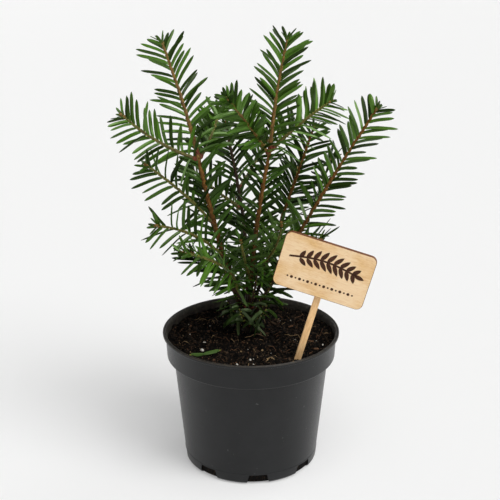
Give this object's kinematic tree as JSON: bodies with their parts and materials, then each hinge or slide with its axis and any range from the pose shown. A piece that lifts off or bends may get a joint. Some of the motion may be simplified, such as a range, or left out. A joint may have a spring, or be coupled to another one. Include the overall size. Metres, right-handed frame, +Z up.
{
  "type": "potted yew shrub",
  "caption": "Young bushy yew with feathery shoots of flat needles, growing in a round black nursery pot with a blank wooden plant label.",
  "frame": {"origin": "centre of the pot's flat underside", "axes": "+Z up, -Y the front, on the label's side, and +X to the right seen from the front"},
  "size_m": [0.1991, 0.1568, 0.3225],
  "materials": {
    "pot": "satin moulded",
    "soil": "moist crumbly peat",
    "label": "bare birch",
    "bark": "matt",
    "needles": "waxy"
  },
  "bodies": {
    "root": {"pot": "pot", "soil": "soil", "label_plate": "label", "label_stick": "label", "spray_left_leader": "needles", "spray_centre_leader": "needles", "spray_right_leader": "needles", "spray_right_back_leader": "needles", "spray_back_leader": "needles", "spray_left_top": "needles", "spray_left_outer": "needles", "spray_left_inner": "needles", "spray_left_middle": "needles", "spray_left_lower": "needles", "spray_left_low": "needles", "spray_left_behind": "needles", "spray_centre_top": "needles", "spray_centre_right": "needles", "spray_centre_left": "needles", "spray_front_left": "needles", "spray_front_right": "needles", "spray_right_front": "needles", "spray_right_behind": "needles", "spray_right_back_outer": "needles", "spray_right_back_low": "needles", "spray_back_outer": "needles", "spray_back_left": "needles", "spray_back_right": "needles", "spray_back_low": "needles", "spray_low_left": "needles", "spray_low_front": "needles", "spray_low_right": "needles", "spray_base_left": "needles", "spray_base_front": "needles", "spray_base_right": "needles", "spray_base_side": "needles", "spray_base_back": "needles", "spray_foot_front": "needles", "spray_foot_left": "needles", "trunk": "bark", "left_bough": "bark", "centre_bough": "bark", "right_bough": "bark", "right_back_bough": "bark", "back_bough": "bark"}
  },
  "joints": []
}
